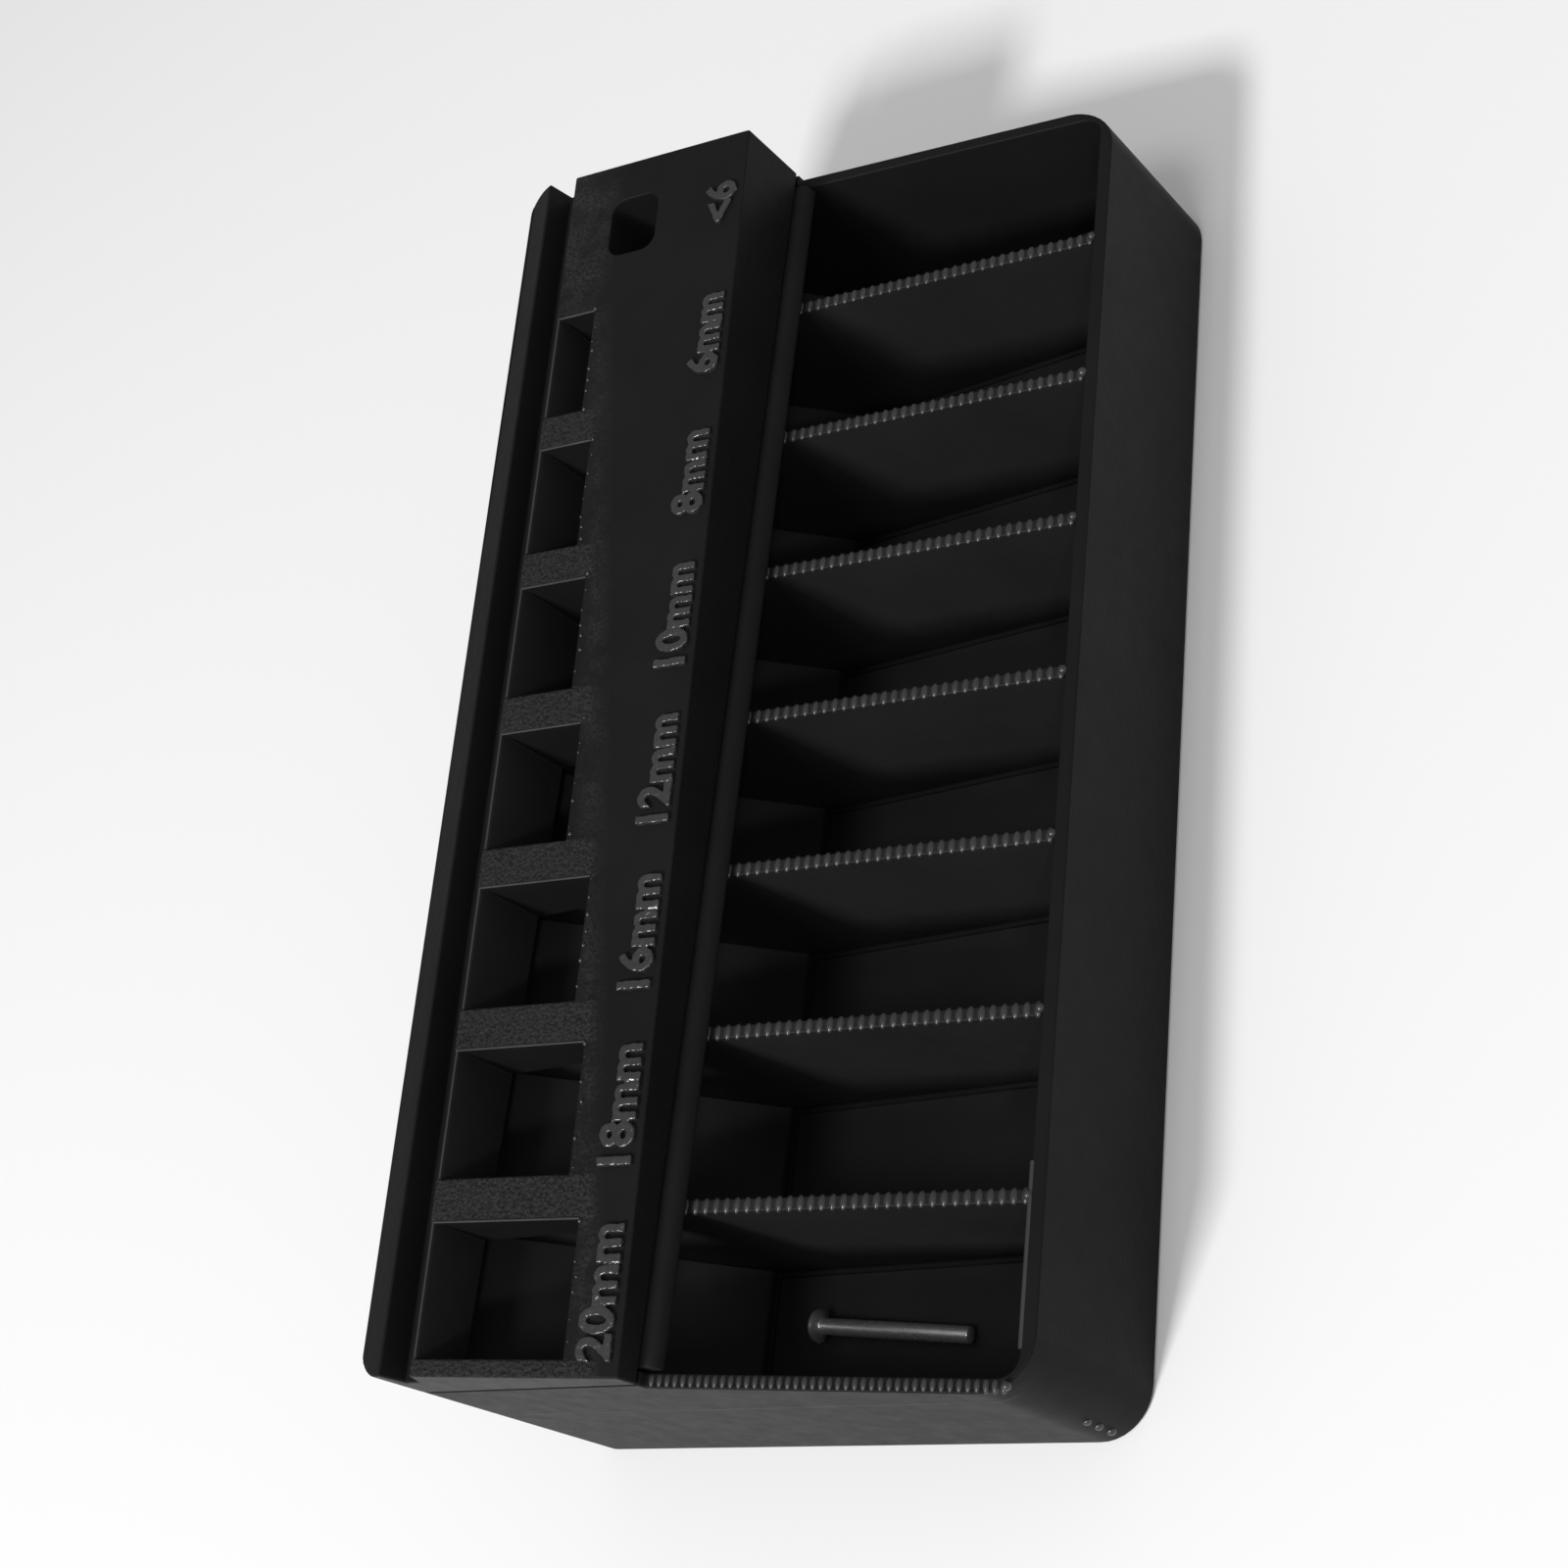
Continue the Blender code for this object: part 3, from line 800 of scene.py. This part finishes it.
class SORTER_OT_deck(bpy.types.Operator):
    """Print the sorting deck with its fence, groove and windows, with painted light on the windows' inner
    walls, and the blobs and lips along the windows as painted highlights
    """
    bl_idname = "sorter.deck"
    bl_label = "Deck"

    def execute(self, context):
        look = printed_plastic("deck_black", roughness=0.40, layer=0.000006, mottle=0.00005,
                               rough_mask=bar_mask)
        # The windows' inner left walls are a lighter copy of the black: painted light that lifts their shade
        inner = printed_plastic("window_wall_black", roughness=0.45, painted_light=2.4, layer=0.000004,
                                mottle_scale=400.0)
        # The blobs and lips are a lighter copy of the black: painted highlights along the windows' edges
        bright = printed_plastic("deck_blob_black", roughness=0.24, painted_light=2.6, gloss=0.7)
        cap = rounded_copy("sorting_deck", "deck_cap", look, self.round_hole, HOLE_ROUND)
        cap.data.materials.append(inner)
        for face in cap.data.polygons:
            beside_groove = GROOVE_EDGE < face.center.x < GROOVE_EDGE + WINDOW_WALL_REACH
            if face.normal.x > DECK_FACING and beside_groove:
                face.material_index = 1
        dress(cap, "deck", "printed_plastic", "sorting_deck")
        dots, lips = self.window_edges()
        piece = grown("window_blobs", mesh_of("window_blob_points", dots), blob_tree(), bright,
                      smallest=BLOB_SIZES[0], largest=BLOB_SIZES[1], seed=3)
        dress(piece, "deck", "printed_plastic")
        piece = grown("window_lips", line_mesh("window_lip_lines", lips), thread_tree(), bright,
                      radius=LIP_RADIUS)
        dress(piece, "deck", "printed_plastic")
        return {'FINISHED'}

    def round_hole(self, edge):
        """Whether an edge is one of the upright edges of the small hole at the far end."""
        first, second = (v.co for v in edge.verts)
        step = first - second
        upright = step.to_2d().length < UPRIGHT_SLACK and abs(step.z) > UPRIGHT_LENGTH
        inside = (HOLE_LOW[0] - HOLE_REACH < first.x < HOLE_HIGH[0] + HOLE_REACH
                  and HOLE_LOW[1] - HOLE_REACH < first.y < HOLE_HIGH[1] + HOLE_REACH)
        return upright and inside

    def window_edges(self):
        """Points along the windows' right edges, and the ends of lines along their left and far edges."""
        dots, lips = [], []
        draw = random.Random(11)
        for low, high in WINDOWS:
            right = high[0] + WINDOW_MARGIN[0] + EDGE_SHIFT
            left = low[0] - WINDOW_MARGIN[0] - EDGE_SHIFT
            near, far = low[1] - WINDOW_MARGIN[1], high[1] + WINDOW_MARGIN[1]
            count = round((far - near) / BLOB_STEP)
            for i in range(count + 1):
                y = near + (far - near) * i / count + draw.uniform(-BLOB_JITTER, BLOB_JITTER) * BLOB_STEP
                x = right + draw.uniform(0.0, BLOB_SPREAD)
                dots.append(Vector((x, y, deck_height(x, y))))
            for x, y in ((left, near), (left, far), (left, far), (right, far)):
                lips.append(Vector((x, y, deck_height(x, y))))
        return dots, lips


class SORTER_OT_marks(bpy.types.Operator):
    """Raise the length marks along the deck's right edge"""
    bl_idname = "sorter.marks"
    bl_label = "Marks"

    words: StringProperty(name="Marks", description="Marks from the far bin to the near bin",
                          default="<6 6mm 8mm 10mm 12mm 16mm 18mm 20mm")

    def letters(self, word):
        """Mesh of one raised word, lying flat with its middle at the origin."""
        s = sizes()
        curve = bpy.data.curves.new("mark_" + word, 'FONT')
        curve.body = word
        curve.size = s.mark_size
        curve.align_x = 'CENTER'
        curve.offset = s.mark_size * MARK_SWELL
        curve.extrude = s.mark_rise / 2
        curve.bevel_depth = s.mark_rise * MARK_BEVEL
        curve.bevel_resolution = 2
        curve.resolution_u = 4
        holder = add_object("mark_holder", curve)
        mesh = evaluated_mesh(holder)
        bpy.data.objects.remove(holder)
        return mesh

    def soften(self, piece):
        """Join the letters into one skin with the lumps and soft edges of molten plastic."""
        lump = bpy.data.textures.new("mark_lumps", 'CLOUDS')
        lump.noise_scale = LUMP_SCALE
        skin = piece.modifiers.new("one_skin", 'REMESH')
        skin.mode = 'VOXEL'
        skin.voxel_size = MARK_VOXEL
        push = piece.modifiers.new("lumps", 'DISPLACE')
        push.texture = lump
        push.texture_coords = 'LOCAL'
        push.strength = LUMP_DEPTH
        ease = piece.modifiers.new("ease", 'SMOOTH')
        ease.factor = 0.5
        ease.iterations = 4
        settle(piece).data.shade_smooth()

    def execute(self, context):
        s = sizes()
        bm = bmesh.new()
        along = Vector((0, 1, s.deck_rise / (TRAY_HIGH.y - TRAY_LOW.y))).normalized()
        up = Vector((-1, 0, math.tan(s.deck_lean))).normalized()
        out = along.cross(up).normalized()
        x = DECK_HIGH.x - s.mark_inset
        for number, word in enumerate(self.words.split(), start=1):
            y = TRAY_HIGH.y - number * PITCH + s.mark_middle
            place = Matrix((along, up, out)).transposed().to_4x4()
            place.translation = Vector((x, y, deck_height(x, y))) + out * (s.mark_rise * MARK_LIFT)
            mesh = self.letters(word)
            mesh.transform(place)
            bm.from_mesh(mesh)
        # The marks are a lighter copy of the black: painted highlights
        look = printed_plastic("mark_black", roughness=0.24, painted_light=2.4, gloss=0.8, mottle=0.00002,
                               mottle_scale=1500.0)
        piece = add_object("length_marks", mesh_from(bm, "length_marks"), look)
        self.soften(piece)
        dress(piece, "deck", "printed_plastic")
        return {'FINISHED'}


class SORTER_OT_pin(bpy.types.Operator):
    """Turn the loose pin with its rounded head"""
    bl_idname = "sorter.pin"
    bl_label = "Pin"

    sides: IntProperty(name="Sides", description="Facets round the pin", default=48, min=12)

    def profile(self):
        """Distance along the pin and radius there, from the top of the head to the tip."""
        s = sizes()
        head, shank = s.head_diameter / 2, s.pin_diameter / 2
        rim, neck, tip = s.head_length * PIN_RIM_SHARE, s.head_length, s.head_length + s.pin_length
        ease, crown = PIN_EASE, 2 * PIN_EASE
        points = [(0.0, 0.0), (0.0, head - crown)]
        for i in range(1, 6):
            turn = math.pi / 2 * i / 5
            points.append((crown * (1 - math.cos(turn)), head - crown + crown * math.sin(turn)))
        points += [(rim, head), (rim + ease / 3, head - ease / 2), (neck, shank + ease)]
        points += [(neck + ease / 3, shank + ease / 4), (neck + ease, shank)]
        points += [(tip - ease / 2, shank), (tip, shank - ease / 2), (tip, 0.0)]
        return points

    def turned(self):
        """Mesh of the pin along X, with the top of its head at the origin."""
        bm = bmesh.new()
        turns = [2 * math.pi * i / self.sides for i in range(self.sides)]
        rings = []
        for along, radius in self.profile():
            if radius == 0.0:
                rings.append([bm.verts.new((along, 0, 0))])
                continue
            rings.append([bm.verts.new((along, radius * math.cos(t), radius * math.sin(t))) for t in turns])
        for first, second in zip(rings, rings[1:]):
            for i in range(self.sides):
                j = (i + 1) % self.sides
                corners = [first[i % len(first)], first[j % len(first)]]
                corners += [second[j % len(second)], second[i % len(second)]]
                bm.faces.new(list(dict.fromkeys(corners)))
        bmesh.ops.recalc_face_normals(bm, faces=bm.faces)
        return mesh_from(bm, "steel_pin")

    def execute(self, context):
        s = sizes()
        low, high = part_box("sorted_pin")
        head, shank = s.head_diameter / 2, s.pin_diameter / 2
        lean = math.asin((head - shank) / (s.head_length + s.pin_length))
        yaw = s.pin_yaw
        start = Vector((low.x - head * math.sin(yaw), high.y - head * math.cos(yaw),
                        low.z + head * math.cos(lean)))
        turn = Matrix.Rotation(yaw, 4, 'Z') @ Matrix.Rotation(lean, 4, 'Y')
        mesh = self.turned()
        mesh.transform(Matrix.Translation(start) @ turn)
        piece = even_normals(add_object("steel_pin", mesh, bright_steel("pin_bright_steel")), 50.0)
        dress(piece, "pin", "pin_steel", "sorted_pin")
        return {'FINISHED'}


class SORTER_OT_stage(bpy.types.Operator):
    """Set the floor, the lamps and the camera"""
    bl_idname = "sorter.stage"
    bl_label = "Stage"

    def lamp(self, name, direction, size, power):
        light = bpy.data.lights.new(name, 'AREA')
        light.size = size
        light.energy = power
        made = bpy.data.objects.new(name, light)
        made.location = STAGE_MIDDLE + Vector(direction).normalized() * LAMP_DISTANCE
        made.rotation_euler = (STAGE_MIDDLE - made.location).to_track_quat('-Z', 'Y').to_euler()
        bpy.context.scene.collection.objects.link(made)

    def floor(self):
        sides = ((-1, -1), (1, -1), (1, 1), (-1, 1))
        corners = [(FLOOR_REACH * x, FLOOR_REACH * y, FLOOR_HEIGHT) for x, y in sides]
        look, _, shader = new_material("pale_floor")
        shader.inputs["Base Color"].default_value = strength_of(finish().floor, 1.0)
        shader.inputs["Roughness"].default_value = FLOOR_ROUGHNESS
        shader.inputs["Specular IOR Level"].default_value = FLOOR_GLOSS
        add_object("floor", mesh_of("floor", corners, faces=[(0, 1, 2, 3)]), look)

    def world(self):
        """Studio dome, palest at the horizon and dimmer on the left."""
        world = bpy.data.worlds.new("studio")
        bpy.context.scene.world = world
        world.use_nodes = True
        tree = world.node_tree
        back = tree.nodes["Background"]
        axes = axes_node(tree, add_node(tree, "ShaderNodeTexCoord").outputs["Generated"])
        upward = spread(tree, axes["Z"], HORIZON_LIGHT, OVERHEAD_LIGHT, 0.0, OVERHEAD_START)
        across = spread(tree, axes["X"], LEFT_SHARE, RIGHT_SHARE, *SHARE_SPAN)
        back.inputs["Color"].default_value = (1.0, 1.0, 1.0, 1.0)
        tree.links.new(math_node(tree, 'MULTIPLY', upward, across), back.inputs["Strength"])

    def camera(self):
        view = bpy.context.scene.sorter_view
        flat = math.cos(view.elevation)
        back = Vector((math.sin(view.azimuth) * flat, -math.cos(view.azimuth) * flat,
                       math.sin(view.elevation)))
        data = bpy.data.cameras.new("photo_view")
        data.sensor_width = 36.0
        data.lens = view.lens
        data.shift_x = view.shift_x
        data.shift_y = view.shift_y
        data.clip_start = 0.01
        made = bpy.data.objects.new("photo_view", data)
        made.location = Vector(view.target) + back * view.distance
        turn = (-back).to_track_quat('-Z', 'Y').to_matrix() @ Matrix.Rotation(view.roll, 3, 'Z')
        made.rotation_euler = turn.to_euler()
        bpy.context.scene.collection.objects.link(made)
        bpy.context.scene.camera = made

    def execute(self, context):
        self.floor()
        self.world()
        for name, direction, size, power in LAMPS:
            self.lamp(name, direction, size, power)
        self.camera()
        context.scene.view_settings.view_transform = 'Standard'
        return {'FINISHED'}


class SORTER_PT_panel(bpy.types.Panel):
    """Pieces of the sorter and their sizes"""
    bl_idname = "SORTER_PT_panel"
    bl_label = "Pin sorter"
    bl_space_type = 'VIEW_3D'
    bl_region_type = 'UI'
    bl_category = "Sorter"

    def draw(self, context):
        for operator in OPERATORS:
            self.layout.operator(operator.bl_idname)
        for group in SCENE_GROUPS:
            values = getattr(context.scene, group)
            box = self.layout.box()
            for key in values.__annotations__:
                box.prop(values, key)


SCENE_GROUPS = {"sorter_sizes": SorterSizes, "sorter_finish": SorterFinish, "sorter_view": SorterView}
OPERATORS = (SORTER_OT_tray, SORTER_OT_dividers, SORTER_OT_beads, SORTER_OT_ramps, SORTER_OT_feet,
             SORTER_OT_lintel, SORTER_OT_deck, SORTER_OT_marks, SORTER_OT_pin, SORTER_OT_stage)
CLASSES = tuple(SCENE_GROUPS.values()) + OPERATORS + (SORTER_PT_panel,)


def register():
    for item in CLASSES:
        bpy.utils.register_class(item)
    for key, group in SCENE_GROUPS.items():
        setattr(bpy.types.Scene, key, PointerProperty(type=group))


def unregister():
    for key in SCENE_GROUPS:
        delattr(bpy.types.Scene, key)
    for item in reversed(CLASSES):
        bpy.utils.unregister_class(item)


def main():
    kept = set(frame["nodes"].values()) | set(frame["bodies"].values())
    for item in list(bpy.data.objects):
        if item not in kept:
            bpy.data.objects.remove(item, do_unlink=True)
    register()
    for operator in OPERATORS:
        group, name = operator.bl_idname.split(".")
        getattr(getattr(bpy.ops, group), name)()


if __name__ == "__main__":
    main()
